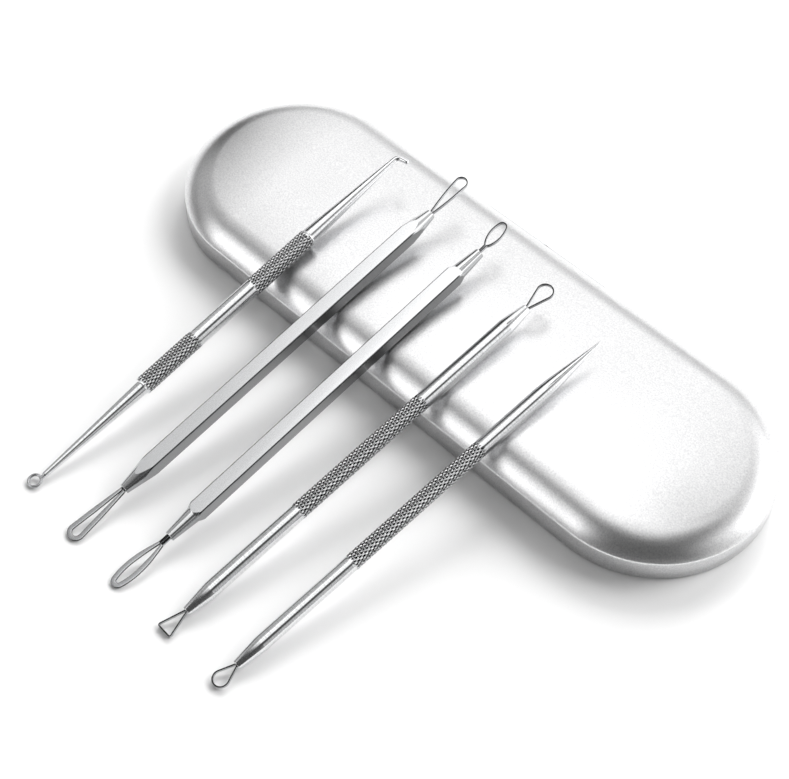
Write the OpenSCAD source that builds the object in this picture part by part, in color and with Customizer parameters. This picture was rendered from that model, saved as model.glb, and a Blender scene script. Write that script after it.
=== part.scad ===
// Set of five double-ended blackhead extractors leaning on their closed oblong tin case.
// Millimetres. Origin on the floor under the middle of the case, +X along the case,
// +Y towards the hinge side, +Z up. The extractors lean over the -Y side of the lid.

/* [Case] */
// Length of the case over its round ends
case_length = 159.2; // [150:0.2:170]
// Width of the case across its straight sides
case_width = 53.2; // [48:0.2:58]
// Height of the lid's upright band above the floor
band_height = 6.8; // [6:0.1:8]
// Radius of the lid's rounded shoulder, in section
shoulder_radius = 10.5; // [8:0.5:12]
// Slope of the shoulder where it meets the band's edge, in degrees
shoulder_slope = 55; // [48:1:60]
// Radius of the lid's slightly domed crown, in section
crown_radius = 150; // [120:5:250]
// Outer radius of the lid's edge
edge_radius = 0.9; // [0.7:0.05:1.2]
// Thickness of the pressed sheet
sheet = 0.5; // [0.4:0.05:0.6]
// Gap between the lid's skirt and the wall of the base
skirt_gap = 0.35; // [0.3:0.05:0.5]
// Height of the skirt's lower rim above the floor
skirt_lift = 0.5; // [0.4:0.05:0.8]

/* [Hinge] */
// Length of the hinge along the back of the case
hinge_length = 36.0; // [24:1:48]
// Diameter of the hinge pin
hinge_pin_diameter = 0.8; // [0.7:0.05:1]
// Number of knuckles, an odd number
knuckles = 5; // [3:2:7]

/* [Handles] */
// Side of the square bar of the second and third extractor
square_side = 3.5; // [3.2:0.1:4]
// Diameter of the first extractor's round bar
ring_bar_diameter = 4.1; // [3.6:0.1:4.5]
// Diameter of the fourth extractor's round bar
triangle_bar_diameter = 3.7; // [3.4:0.1:4.2]
// Diameter of the fifth extractor's round bar
needle_bar_diameter = 3.5; // [3.2:0.1:4]
// How far the crests of the knurling stand out from the round bar
knurl_height = 0.1; // [0.05:0.05:0.15]
// Diameter of a square bar's turned end
square_tip_diameter = 2.3; // [2:0.1:2.6]
// Diameter of a round bar's turned end
round_tip_diameter = 2.1; // [1.8:0.1:2.4]
// Diameter of the blind bores that hold the loops
bore_diameter = 1.5; // [1.3:0.05:1.7]
// Depth of those bores
bore_depth = 4.0; // [3:0.5:6]

/* [Lengths] */
// Overall length of each extractor, from the one with the ring to the one with the needle
tool_length = [108.9, 117.5, 115.1, 109.0, 106.7];
// Reach of each lower end piece out of its handle
lower_reach = [2.0, 15.0, 15.0, 5.9, 5.9];
// Reach of each upper end piece, none where the handle itself makes the end
upper_reach = [0.0, 11.9, 9.3, 7.6, 0.0];

/* [End pieces] */
// Width of the lower loops: long loop, oval loop, triangle, round loop
lower_width = [4.1, 4.0, 4.1, 3.7];
// Width of the upper loops: long loop, oval loop, round loop
upper_width = [3.1, 3.1, 3.9];
// Thickness of the thin strip that the narrow loops are bent from
strip_thickness = 0.3; // [0.25:0.05:0.4]
// Width of that strip
strip_width = 0.8; // [0.6:0.1:1]
// Width of the flattened wire of the two long lower loops, at their tips
flat_wire_width = 1.1; // [0.8:0.1:1.2]
// Width of that wire where it comes out of the bore
flat_wire_root = 0.62; // [0.55:0.01:0.64]
// Thickness of that flattened wire
flat_wire_thickness = 0.4; // [0.35:0.05:0.5]
// Outer diameter of the ring
ring_diameter = 3.4; // [3.2:0.1:4]
// Diameter of the ring's wire
ring_wire = 0.65; // [0.5:0.05:0.7]
// Diameter of the ring's stem, which is soldered into the handle
ring_stem = 0.8; // [0.75:0.05:0.9]

/* [Placement] */
// Where each lower tip stands along the case
foot_x = [-36.4, -21.2, -6.0, 8.6, 24.2];
// How far each lower tip stands in front of the case's middle line
foot_out = [92.3, 96.1, 97.0, 96.5, 97.4];
// Direction of each extractor seen from above, 90 being square to the case
heading = [88.9, 88.4, 88.4, 86.8, 86.1];
// Gap left between an extractor and the lid that it leans on
lean_gap = 0.3; // [0.2:0.05:0.5]

/* [Hidden] */
$fn = 96;

RING = 0;
LONG = 1;
OVAL = 2;
TRIANGLE = 3;
NEEDLE = 4;

steel = [0.75, 0.76, 0.78];
bright = [0.86, 0.87, 0.89];
satin = [0.80, 0.80, 0.82];

end_radius = case_width / 2;
straight = case_length - case_width;
lid_edge = [end_radius - edge_radius, band_height - edge_radius];
shoulder_r = lid_edge[0] + (edge_radius - shoulder_radius) * sin(shoulder_slope);
shoulder_z = lid_edge[1] + (edge_radius - shoulder_radius) * cos(shoulder_slope);
crown_slope = asin(shoulder_r / (crown_radius - shoulder_radius));
crown_z = shoulder_z - (crown_radius - shoulder_radius) * cos(crown_slope);

base_radius = end_radius - sheet - skirt_gap;
base_height = band_height - sheet - 0.3;
base_corner = 1.0;

pin_radius = hinge_pin_diameter / 2;
running_fit = 0.05;
knuckle_wall = 0.4;
knuckle_radius = pin_radius + running_fit + knuckle_wall;
axis_y = end_radius + knuckle_radius + 0.05;
axis_z = skirt_lift + knuckle_radius + 0.15;
leaf_thickness = 0.4;
knuckle_gap = 0.3;
knuckle_length = (hinge_length - (knuckles - 1) * knuckle_gap) / knuckles;
notch_height = axis_z + knuckle_radius + 0.35;
base_leaf_top = notch_height - 0.35;
lid_leaf_top = band_height - edge_radius - 0.1;

corner_radius = square_side / 2 * sqrt(2);
seat = bore_depth;
// Where each leg of the flattened wire stands in its bore, and where it is fully flattened
flat_root = flat_wire_root / 2 + 0.04;
flat_reach = 7;

// Height of each lower tip's axis above the floor, so that the piece stands on it
foot_height = [ring_wire / 2 + 0.33, flat_wire_thickness / 2 + 0.12, flat_wire_thickness / 2 + 0.12,
               strip_width / 2 + 0.08, strip_width / 2 + 0.08];
half_bar = [ring_bar_diameter / 2 + knurl_height, square_side / 2, square_side / 2,
            triangle_bar_diameter / 2, needle_bar_diameter / 2];

// Rise of extractor i, just enough for its handle to pass over the lid's shoulder
function lean(i) =
    let (run = foot_out[i] - shoulder_r,
         rise = shoulder_z - foot_height[i])
    atan2(rise, run) + asin((shoulder_radius + half_bar[i] + lean_gap) / norm([run, rise]));

// Arc of n + 1 points
function arc(c, r, a0, a1, n) =
    [for (k = [0 : n]) let (a = a0 + (a1 - a0) * k / n) [c[0] + r * cos(a), c[1] + r * sin(a)]];

// All points but the first
function later(pts) = [for (k = [1 : len(pts) - 1]) pts[k]];

function mirrored(pts) = [for (k = [len(pts) - 1 : -1 : 0]) [-pts[k][0], pts[k][1]]];

function unit(v) = v / norm(v);

// Both edges of a strip of the given thicknesses along a line of points
function strip(p, t) =
    let (n = len(p),
         d = [for (k = [0 : n - 1]) unit(p[min(k + 1, n - 1)] - p[max(k - 1, 0)])],
         left = [for (k = [0 : n - 1]) p[k] + [-d[k][1], d[k][0]] * t[k] / 2],
         right = [for (k = [n - 1 : -1 : 0]) p[k] - [-d[k][1], d[k][0]] * t[k] / 2])
    concat(left, right);

// Sideways lean of the points that stand out of the bore
function leaning(p, slope) = [for (q = p) [q[0] + slope * max(0, q[1]), q[1]]];

// Centre line of a loop with nearly straight legs: out of the bore, round a circle and back.
// Root is how far each leg stands from the middle of the bore, bow how far it bulges
function straight_loop(width, reach, t, root, bow = 0) =
    let (r = (width - t) / 2,
         start = [root, 0],
         c = [0, reach - t / 2 - r],
         toward = c - start,
         a0 = atan2(toward[1], toward[0]) - asin(r / norm(toward)) - 90,
         end = c + r * [cos(a0), sin(a0)],
         leg = [for (k = [0 : 9]) let (u = k / 10)
                start + (end - start) * u + [bow * sin(180 * u), 0]],
         side = concat([[root, -seat]], leg))
    concat(side, arc(c, r, a0, 180 - a0, 32), mirrored(side));

// Centre line of an egg-shaped loop on a stem of two parallel legs. It is widest at the
// belly, closes in a nose of the given radius, and swells sooner above the stem where
// fullness is below 1
function oval_loop(width, reach, stem, belly, nose, t, root, fullness = 1) =
    let (r = (width - t) / 2,
         rise = reach - t / 2 - nose - belly,
         flank_r = (r * r - nose * nose + rise * rise) / (2 * (r - nose)),
         turn = atan2(rise, flank_r - r),
         flank = [for (k = [0 : 15]) let (u = k / 16)
                  [root + (r - root) * pow(sin(90 * u), fullness), stem + (belly - stem) * u]],
         side = concat([[root, -seat]], flank, arc([r - flank_r, belly], flank_r, 0, turn, 8)))
    concat(side, later(arc([0, belly + rise], nose, turn, 180 - turn, 24)),
           later(mirrored(side)));

// Centre line of a triangle with rounded corners
function triangle_loop(width, reach, t, root) =
    let (corner = [(width - t) / 2, reach - t / 2],
         slope = atan2(corner[1], corner[0] - root),
         r = 0.35,
         reach_in = r / sin(slope / 2),
         c = corner - reach_in * [cos(slope / 2), sin(slope / 2)],
         side = concat([[root, -seat], [root, 0]], arc(c, r, slope - 90, 90, 8)))
    concat(side, mirrored(side));

function even(p, t) = [for (q = p) t];

// Width of a wire that is round up to one height and fully flattened at another
function swelling(p, t0, t1, start, full) =
    [for (q = p) t0 + (t1 - t0) * min(1, max(0, (q[1] - start) / (full - start)))];

// A flat piece drawn in X and Z, of the given depth along Y
module flat_piece(points, depth) {
    rotate([90, 0, 0])
        linear_extrude(height = depth, center = true)
            polygon(points);
}

// Puts an extractor that is drawn upright along Z into its leaning place
module leaned(i) {
    translate([foot_x[i], -foot_out[i], foot_height[i]])
        rotate([0, 0, heading[i] - 90])
            rotate([lean(i) - 90, 0, 0])
                children();
}

// A lower end piece, drawn upwards out of the bore, hangs from the lower end
module at_lower_end(i) {
    leaned(i)
        translate([0, 0, lower_reach[i]])
            mirror([0, 0, 1])
                children();
}

module at_upper_end(i) {
    leaned(i)
        translate([0, 0, tool_length[i] - upper_reach[i]])
            children();
}

// A pressed shell of the case: its profile round both ends and along the straight
module oblong(profile) {
    for (side = [0, 180])
        rotate([0, 0, side])
            translate([straight / 2, 0, 0])
                rotate([0, 0, -90])
                    rotate_extrude(angle = 180)
                        polygon(profile);
    for (side = [0, 180])
        rotate([0, 0, side])
            translate([-straight / 2, 0, 0])
                rotate([90, 0, 90])
                    linear_extrude(height = straight)
                        polygon(profile);
}

// Outer and inner line of the lid's half section, from the skirt's rim to the middle
lid_shoulder = [shoulder_r, shoulder_z];
lid_crown = [0, crown_z];
lid_profile = concat(
    [[end_radius - sheet, skirt_lift], [end_radius, skirt_lift]],
    arc(lid_edge, edge_radius, 0, 90 - shoulder_slope, 4),
    later(arc(lid_shoulder, shoulder_radius, 90 - shoulder_slope, 90 - crown_slope, 12)),
    later(arc(lid_crown, crown_radius, 90 - crown_slope, 90, 4)),
    arc(lid_crown, crown_radius - sheet, 90, 90 - crown_slope, 4),
    later(arc(lid_shoulder, shoulder_radius - sheet, 90 - crown_slope, 90 - shoulder_slope, 12)),
    later(arc(lid_edge, edge_radius - sheet, 90 - shoulder_slope, 0, 3)));

base_bottom = [base_radius - base_corner, base_corner];
base_profile = concat(
    [[0, 0]],
    arc(base_bottom, base_corner, -90, 0, 6),
    [[base_radius, base_height], [base_radius - sheet, base_height]],
    arc(base_bottom, base_corner - sheet, 0, -90, 6),
    [[0, sheet]]);

// Knuckle k of the hinge, with its bore
module knuckle(k) {
    translate([(k - (knuckles - 1) / 2) * (knuckle_length + knuckle_gap), axis_y, axis_z])
        children();
}

module barrel() {
    rotate([0, 90, 0])
        cylinder(r = knuckle_radius, h = knuckle_length, center = true);
}

module pin_bores(clearance) {
    translate([0, axis_y, axis_z])
        rotate([0, 90, 0])
            cylinder(r = pin_radius + clearance, h = hinge_length + 2, center = true);
}

module case_base() {
    color(satin) oblong(base_profile);
}

// Spot-welded on the back wall of the base, under the notch in the skirt
module base_hinge_leaf() {
    tab_depth = axis_y - base_radius;
    color(satin) difference() {
        union() {
            translate([-hinge_length / 2, base_radius, skirt_lift])
                cube([hinge_length, leaf_thickness, base_leaf_top - skirt_lift]);
            for (k = [1 : 2 : knuckles - 2]) {
                knuckle(k) barrel();
                knuckle(k)
                    translate([-knuckle_length / 2, -tab_depth, -knuckle_radius])
                        cube([knuckle_length, tab_depth, leaf_thickness]);
            }
        }
        pin_bores(0);
    }
}

module hinge_pin() {
    color(steel)
        translate([0, axis_y, axis_z])
            rotate([0, 90, 0])
                cylinder(r = pin_radius, h = hinge_length + 1, center = true);
}

// The back of the skirt has a notch for the hinge, and its rim is trimmed up to the
// hinge axis, so that it doesn't dig into the base as the lid turns
module case_lid() {
    trim_length = straight + 20;
    trim_depth = 4;
    color(satin) difference() {
        oblong(lid_profile);
        translate([-hinge_length / 2 - 1, end_radius - 2 * sheet, 0])
            cube([hinge_length + 2, 3 * sheet, notch_height]);
        translate([-trim_length / 2, end_radius - trim_depth, 0])
            cube([trim_length, trim_depth + 1, axis_z - 0.2]);
    }
}

// Spot-welded on the back of the skirt, above the notch
module lid_hinge_leaf() {
    color(satin) difference() {
        union() {
            translate([-hinge_length / 2, end_radius, notch_height])
                cube([hinge_length, leaf_thickness, lid_leaf_top - notch_height]);
            for (k = [0 : 2 : knuckles - 1]) {
                knuckle(k) barrel();
                knuckle(k)
                    translate([-knuckle_length / 2, end_radius - axis_y, 0])
                        cube([knuckle_length, leaf_thickness, lid_leaf_top - axis_z]);
            }
        }
        pin_bores(running_fit);
    }
}

module bore() {
    translate([0, 0, -1])
        cylinder(d = bore_diameter, h = bore_depth + 1);
}

// Blind bores in a handle that runs from z0 to z1
module lower_bore(z0) {
    translate([0, 0, z0])
        bore();
}

module upper_bore(z1) {
    translate([0, 0, z1])
        mirror([0, 0, 1])
            bore();
}

// Half section of a square bar's turned end, from its face inwards. It meets the bar's
// corners at the depth of the cone. The shoulder is the length over which the corners
// are cut away before the long cone starts.
function turned_end(cone, shoulder) =
    let (tip_r = square_tip_diameter / 2,
         neck_r = shoulder > 0 ? square_side / 2 - 0.03 : tip_r,
         neck_z = shoulder > 0 ? cone - shoulder : 0,
         over_r = corner_radius + 0.1,
         over_z = neck_z + (cone - neck_z) * (over_r - neck_r) / (corner_radius - neck_r))
    concat([[tip_r, 0]], shoulder > 0 ? [[neck_r, neck_z]] : [], [[over_r, over_z]]);

// Square bar, turned down to a blunt cone at both ends
module square_handle(i, cone, shoulder) {
    z0 = lower_reach[i];
    z1 = tool_length[i] - upper_reach[i];
    end = turned_end(cone, shoulder);
    difference() {
        intersection() {
            translate([-square_side / 2, -square_side / 2, z0])
                cube([square_side, square_side, z1 - z0]);
            rotate_extrude()
                polygon(concat(
                    [[0, z0]],
                    [for (p = end) [p[0], z0 + p[1]]],
                    [for (k = [len(end) - 1 : -1 : 0]) [end[k][0], z1 - end[k][1]]],
                    [[0, z1]]));
        }
        lower_bore(z0);
        upper_bore(z1);
    }
}

// Half section of a knurled band with bevelled ends
function band(r, z0, z1) =
    [[r, z0], [r + knurl_height, z0 + 0.25], [r + knurl_height, z1 - 0.25], [r, z1]];

// First extractor: one bar from the ring's seat to the hook
hook_radius = 0.62;
hook_neck = 0.6;
hook_overlap = 0.05;
hook_bend = 1.2;
hook_turn = 80;
hook_length = 2.0;
hook_start = tool_length[RING] - hook_bend * sin(hook_turn) - hook_radius - 0.2;

ring_seat = 2.5;

module ring_handle() {
    r = ring_bar_diameter / 2;
    z0 = lower_reach[RING];
    color(steel) leaned(RING) difference() {
        union() {
            rotate_extrude()
                polygon(concat(
                    [[0, z0], [0.65, z0], [1.65, 30.0]],
                    band(r, 30.0, 45.6),
                    band(r, 62.2, 79.5),
                    [[1.85, 79.5], [hook_neck, hook_start], [hook_neck, hook_start + hook_overlap],
                     [0, hook_start + hook_overlap]]));
            translate([hook_bend, 0, hook_start])
                rotate([90, 0, 0])
                    rotate([0, 0, 180 - hook_turn])
                        rotate_extrude(angle = hook_turn)
                            translate([hook_bend, 0])
                                circle(r = hook_radius);
            translate([hook_bend * (1 - cos(hook_turn)), 0, hook_start + hook_bend * sin(hook_turn)])
                rotate([0, hook_turn, 0])
                    translate([0, 0, -hook_overlap])
                        cylinder(r1 = hook_neck, r2 = 0.52, h = hook_length + hook_overlap);
        }
        translate([0, 0, z0 - 1])
            cylinder(d = ring_stem + 0.1, h = ring_seat + 1);
    }
}

module ring_eye() {
    ring_x = -0.55;
    ring_z = -0.1;
    r = (ring_diameter - ring_wire) / 2;
    join_z = ring_z + sqrt(r * r - ring_x * ring_x);
    color(bright) leaned(RING) {
        translate([ring_x, 0, ring_z])
            rotate([90, 0, 0])
                rotate_extrude($fn = 48)
                    translate([r, 0])
                        circle(d = ring_wire, $fn = 48);
        translate([0, 0, join_z])
            cylinder(d = ring_stem, h = lower_reach[RING] + ring_seat - join_z);
    }
}

module long_loop_handle() {
    color(steel) leaned(LONG) square_handle(LONG, 8.1, 0);
}

module long_loop_lower() {
    line = straight_loop(lower_width[0], lower_reach[LONG], flat_wire_width, flat_root);
    color(bright) at_lower_end(LONG)
        flat_piece(strip(line, swelling(line, flat_wire_root, flat_wire_width, 0, flat_reach)),
                   flat_wire_thickness);
}

module long_loop_upper() {
    line = straight_loop(upper_width[0], upper_reach[LONG], strip_thickness, 0.22, bow = 0.17);
    color(bright) at_upper_end(LONG)
        flat_piece(strip(leaning(line, -0.06), even(line, strip_thickness)), strip_width);
}

module oval_loop_handle() {
    color(steel) leaned(OVAL) square_handle(OVAL, 8.1, 1.6);
}

module oval_loop_lower() {
    stem = 2.1;
    line = oval_loop(lower_width[1], lower_reach[OVAL], stem, 10.1, 1.0, flat_wire_width,
                     flat_root);
    color(bright) at_lower_end(OVAL)
        flat_piece(strip(leaning(line, -0.03),
                         swelling(line, flat_wire_root, flat_wire_width, stem, flat_reach)),
                   flat_wire_thickness);
}

module oval_loop_upper() {
    line = oval_loop(upper_width[1], upper_reach[OVAL], 2.3, 5.9, 1.05, strip_thickness, 0.21,
                     fullness = 0.65);
    color(bright) at_upper_end(OVAL)
        flat_piece(strip(leaning(line, -0.1), even(line, strip_thickness)), strip_width);
}

// Fourth extractor: round bar with one long knurled band
module triangle_handle() {
    r = triangle_bar_diameter / 2;
    tip_r = round_tip_diameter / 2;
    z0 = lower_reach[TRIANGLE];
    z1 = tool_length[TRIANGLE] - upper_reach[TRIANGLE];
    taper = 6.2;
    color(steel) leaned(TRIANGLE) difference() {
        rotate_extrude()
            polygon(concat(
                [[0, z0], [tip_r, z0], [r, z0 + taper]],
                band(r, 35.5, 70.8),
                [[r, z1 - taper], [tip_r, z1], [0, z1]]));
        lower_bore(z0);
        upper_bore(z1);
    }
}

module triangle_lower() {
    line = triangle_loop(lower_width[2], lower_reach[TRIANGLE], strip_thickness, 0.21);
    color(bright) at_lower_end(TRIANGLE)
        flat_piece(strip(line, even(line, strip_thickness)), strip_width);
}

module triangle_upper_loop() {
    line = straight_loop(upper_width[2], upper_reach[TRIANGLE], strip_thickness, 0.21);
    color(bright) at_upper_end(TRIANGLE)
        flat_piece(strip(line, even(line, strip_thickness)), strip_width);
}

// Fifth extractor: round bar that runs out in a long needle
module needle_handle() {
    r = needle_bar_diameter / 2;
    tip_r = round_tip_diameter / 2;
    z0 = lower_reach[NEEDLE];
    z1 = tool_length[NEEDLE];
    needle = 12.0;
    neck = 7.0;
    needle_r = 1.3;
    color(steel) leaned(NEEDLE) difference() {
        rotate_extrude()
            polygon(concat(
                [[0, z0], [tip_r, z0], [r, z0 + 6.2]],
                band(r, 35.7, 71.7),
                [[r, z1 - needle - neck], [(r + needle_r) / 2 + 0.08, z1 - needle - neck * 0.4],
                 [needle_r, z1 - needle], [0.12, z1 - 0.1], [0, z1]]));
        lower_bore(z0);
    }
}

module needle_lower_loop() {
    line = straight_loop(lower_width[3], lower_reach[NEEDLE] - 0.1, strip_thickness, 0.21);
    color(bright) at_lower_end(NEEDLE)
        flat_piece(strip(line, even(line, strip_thickness)), strip_width);
}

case_base();
base_hinge_leaf();
hinge_pin();
case_lid();
lid_hinge_leaf();
ring_handle();
ring_eye();
long_loop_handle();
long_loop_lower();
long_loop_upper();
oval_loop_handle();
oval_loop_lower();
oval_loop_upper();
triangle_handle();
triangle_lower();
triangle_upper_loop();
needle_handle();
needle_lower_loop();
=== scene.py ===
import math

import bmesh
import bpy
from mathutils import Matrix, Vector


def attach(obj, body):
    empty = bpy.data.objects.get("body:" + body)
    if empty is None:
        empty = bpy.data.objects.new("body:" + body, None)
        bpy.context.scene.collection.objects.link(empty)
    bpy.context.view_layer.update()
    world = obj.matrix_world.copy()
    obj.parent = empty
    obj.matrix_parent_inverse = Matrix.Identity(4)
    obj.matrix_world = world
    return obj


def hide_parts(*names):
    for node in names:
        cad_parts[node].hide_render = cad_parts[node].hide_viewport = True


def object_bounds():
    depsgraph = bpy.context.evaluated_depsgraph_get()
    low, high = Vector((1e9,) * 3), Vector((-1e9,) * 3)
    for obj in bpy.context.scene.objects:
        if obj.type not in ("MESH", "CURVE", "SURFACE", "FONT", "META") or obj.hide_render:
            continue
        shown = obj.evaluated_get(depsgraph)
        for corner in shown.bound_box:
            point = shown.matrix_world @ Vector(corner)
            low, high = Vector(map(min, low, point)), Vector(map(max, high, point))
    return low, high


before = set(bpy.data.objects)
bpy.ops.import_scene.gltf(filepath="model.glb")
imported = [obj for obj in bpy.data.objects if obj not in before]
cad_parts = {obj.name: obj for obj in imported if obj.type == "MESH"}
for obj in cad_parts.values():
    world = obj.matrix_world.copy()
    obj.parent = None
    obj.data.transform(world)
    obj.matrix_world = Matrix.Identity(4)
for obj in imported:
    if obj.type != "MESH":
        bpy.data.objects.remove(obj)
cad_low, cad_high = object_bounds()
scene = bpy.context.scene
MM = 0.001

# Camera. The set is seen from the front right and well above, through a long lens, so that
# the extractors cross the picture from the lower left to the upper right.
view_azimuth = math.radians(44.17)
view_elevation = math.radians(55.32)
view_distance = 0.34844
sensor_width, lens_length, nearest = 36.0, 72.86, 0.01
looked_at = Vector((0.00059, -0.02290, 0.0))
to_camera = Vector((
    math.sin(view_azimuth) * math.cos(view_elevation),
    -math.cos(view_azimuth) * math.cos(view_elevation),
    math.sin(view_elevation),
))
camera = bpy.data.objects.new("camera", bpy.data.cameras.new("camera"))
camera.data.sensor_width = sensor_width
camera.data.lens = lens_length
camera.data.clip_start = nearest
camera.location = looked_at + to_camera * view_distance
camera.rotation_mode = "QUATERNION"
camera.rotation_quaternion = (-to_camera).to_track_quat("-Z", "Y")
scene.collection.objects.link(camera)
scene.camera = camera


# Studio. A white table in a dim grey room. Five broad lamps behind and beside the set light
# the table and throw the soft shadows, and the metal doesn't mirror them. What it mirrors are
# softboxes and lit walls round the table, with narrow black flags in front of them.
def put(tree, socket, value):
    """Links a socket to another, or sets its own value."""
    if isinstance(value, bpy.types.NodeSocket):
        tree.links.new(value, socket)
    else:
        socket.default_value = value


def add(tree, kind, given=(), **settings):
    """A new node with these settings, and these values or links on its inputs."""
    made = tree.nodes.new(kind)
    for name, value in settings.items():
        setattr(made, name, value)
    for name, value in dict(given).items():
        put(tree, made.inputs[name], value)
    return made


def calc(tree, operation, *values):
    """The result of one math node."""
    made = add(tree, "ShaderNodeMath", operation=operation)
    for socket, value in zip(made.inputs, values):
        put(tree, socket, value)
    return made.outputs[0]


def smooth_step(tree, value, start, end, low=0.0, high=1.0):
    """Value mapped smoothly from start..end to low..high."""
    made = add(tree, "ShaderNodeMapRange", {
        "Value": value, "From Min": start, "From Max": end, "To Min": low, "To Max": high,
    }, interpolation_type="SMOOTHSTEP")
    return made.outputs["Result"]


def direction(azimuth, elevation):
    """Unit vector, with azimuth 0 at +X and 90 at +Y, in degrees."""
    a, e = math.radians(azimuth), math.radians(elevation)
    return Vector((math.cos(a) * math.cos(e), math.sin(a) * math.cos(e), math.sin(e)))


# each softbox or lit wall: the direction it is seen in, its half width and half height as
# tangents, how soft its edge is, and its brightness in the metal
SOFTBOXES = [
    ((50, 25), 0.75, 0.50, 0.20, 0.65),
    ((48, 16), 0.40, 0.30, 0.15, 1.7),
    ((5, 20), 0.25, 0.35, 0.12, 0.45),
    ((120, 45), 0.75, 0.75, 0.25, 0.3),
    ((122, 50), 0.35, 0.35, 0.15, 0.92),
    ((100, 20), 0.80, 0.30, 0.12, 0.4),
    ((178, 62), 0.35, 0.30, 0.12, 0.3),
    ((185, 28), 0.30, 0.25, 0.10, 0.4),
    ((90, 85), 0.40, 0.40, 0.12, 1.1),
    ((-120, 30), 0.32, 0.30, 0.10, 0.9),
    ((-112, 24), 0.22, 0.16, 0.06, 1.2),
    ((-130, 38), 0.30, 0.20, 0.08, 0.6),
]
# narrow black flags in front of them, listed in the same way, draw dark lines on the bars
FLAGS = [
    ((154, 20), 0.10, 0.30, 0.04, -1.5),
    ((88, 69), 0.22, 0.07, 0.04, -1.5),
]
# brightness of the room between them, the cut-off that keeps each softbox to its own side of
# the room, and the share of all that light that matt surfaces get
STUDIO_GREY = 0.08
FACING_LEAST = 0.05
TABLE_SHARE = 0.3
world = bpy.data.worlds.new("studio")
scene.world = world
world.use_nodes = True
sky = world.node_tree
sky.nodes.clear()
seen = add(sky, "ShaderNodeTexCoord").outputs["Generated"]


def along(axis):
    """How far the seen direction goes along an axis."""
    return add(sky, "ShaderNodeVectorMath", {0: seen, 1: axis},
               operation="DOT_PRODUCT").outputs["Value"]


glow = STUDIO_GREY
for (azimuth, elevation), half_width, half_height, edge, brightness in SOFTBOXES + FLAGS:
    middle = direction(azimuth, elevation)
    level = direction(azimuth + 90, 0)
    facing = along(middle)
    lit = calc(sky, "GREATER_THAN", facing, FACING_LEAST)
    for axis, half in ((level, half_width), (middle.cross(level), half_height)):
        off = calc(sky, "ABSOLUTE", calc(sky, "DIVIDE", along(axis), facing))
        lit = calc(sky, "MULTIPLY", lit, smooth_step(sky, off, half - edge, half + edge, 1, 0))
    glow = calc(sky, "ADD", glow, calc(sky, "MULTIPLY", lit, brightness))
on_matt = add(sky, "ShaderNodeLightPath").outputs["Is Diffuse Ray"]
kept = calc(sky, "SUBTRACT", 1, calc(sky, "MULTIPLY", on_matt, 1 - TABLE_SHARE))
backdrop = add(sky, "ShaderNodeBackground", {
    "Color": (1, 1, 1, 1),
    "Strength": calc(sky, "MULTIPLY", calc(sky, "MAXIMUM", glow, STUDIO_GREY / 2), kept)})
sky_out = add(sky, "ShaderNodeOutputWorld")
sky.links.new(backdrop.outputs[0], sky_out.inputs["Surface"])

# the lamps that light the table and throw the shadows: direction, power in watts, diameter
LAMPS = [((60, 35), 16.0, 0.9), ((105, 25), 17.0, 0.9), ((150, 35), 6.0, 0.9),
         ((-60, 50), 2.5, 0.9), ((122, 36), 6.0, 0.45)]
LAMP_DISTANCE = 1.5
for number, ((azimuth, elevation), power, diameter) in enumerate(LAMPS, 1):
    name = f"lamp_{number}"
    lamp = bpy.data.objects.new(name, bpy.data.lights.new(name, "AREA"))
    lamp.data.shape = "DISK"
    lamp.data.size = diameter
    lamp.data.energy = power
    way = direction(azimuth, elevation)
    lamp.location = looked_at + way * LAMP_DISTANCE
    lamp.rotation_euler = (-way).to_track_quat("-Z", "Y").to_euler()
    lamp.visible_glossy = False
    scene.collection.objects.link(lamp)

TABLE_HALF = 2.5
TABLE_WHITE = 0.88
table_height = min(cad_low.z, 0.0)
table_mesh = bpy.data.meshes.new("table")
table_mesh.from_pydata(
    [(x * TABLE_HALF, y * TABLE_HALF, table_height)
     for x, y in ((-1, -1), (1, -1), (1, 1), (-1, 1))], [], [(0, 1, 2, 3)])
table = bpy.data.objects.new("table", table_mesh)
scene.collection.objects.link(table)
table_paint = bpy.data.materials.new("table_white")
table_paint.use_nodes = True
table_look = table_paint.node_tree.nodes["Principled BSDF"]
table_look.inputs["Base Color"].default_value = (TABLE_WHITE, TABLE_WHITE, TABLE_WHITE, 1)
table_look.inputs["Roughness"].default_value = 0.9
table_look.inputs["Specular IOR Level"].default_value = 0.1
table_mesh.materials.append(table_paint)
scene.view_settings.view_transform = "Standard"


# Case lid. One pressing of thin sheet with a matt, finely blasted skin: an upright band, a
# small edge radius, a wide rounded shoulder and a gently domed crown, with round ends. Its
# skirt is notched at the back for the hinge and trimmed there to clear the base.
case_length, case_width, band_height, sheet, skirt_lift = 159.2, 53.2, 6.8, 0.5, 0.5
edge_radius, shoulder_radius, crown_radius = 0.9, 10.5, 150.0
shoulder_slope = math.radians(55)
end_radius = case_width / 2
straight = case_length - case_width
lid_edge = (end_radius - edge_radius, band_height - edge_radius)
shoulder_reach = lid_edge[0] + (edge_radius - shoulder_radius) * math.sin(shoulder_slope)
shoulder_height = lid_edge[1] + (edge_radius - shoulder_radius) * math.cos(shoulder_slope)
crown_slope = math.asin(shoulder_reach / (crown_radius - shoulder_radius))
crown_height = shoulder_height - (crown_radius - shoulder_radius) * math.cos(crown_slope)
hinge_length, pin_radius, running_fit, knuckle_wall = 36.0, 0.4, 0.05, 0.4
knuckle_radius = pin_radius + running_fit + knuckle_wall
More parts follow.
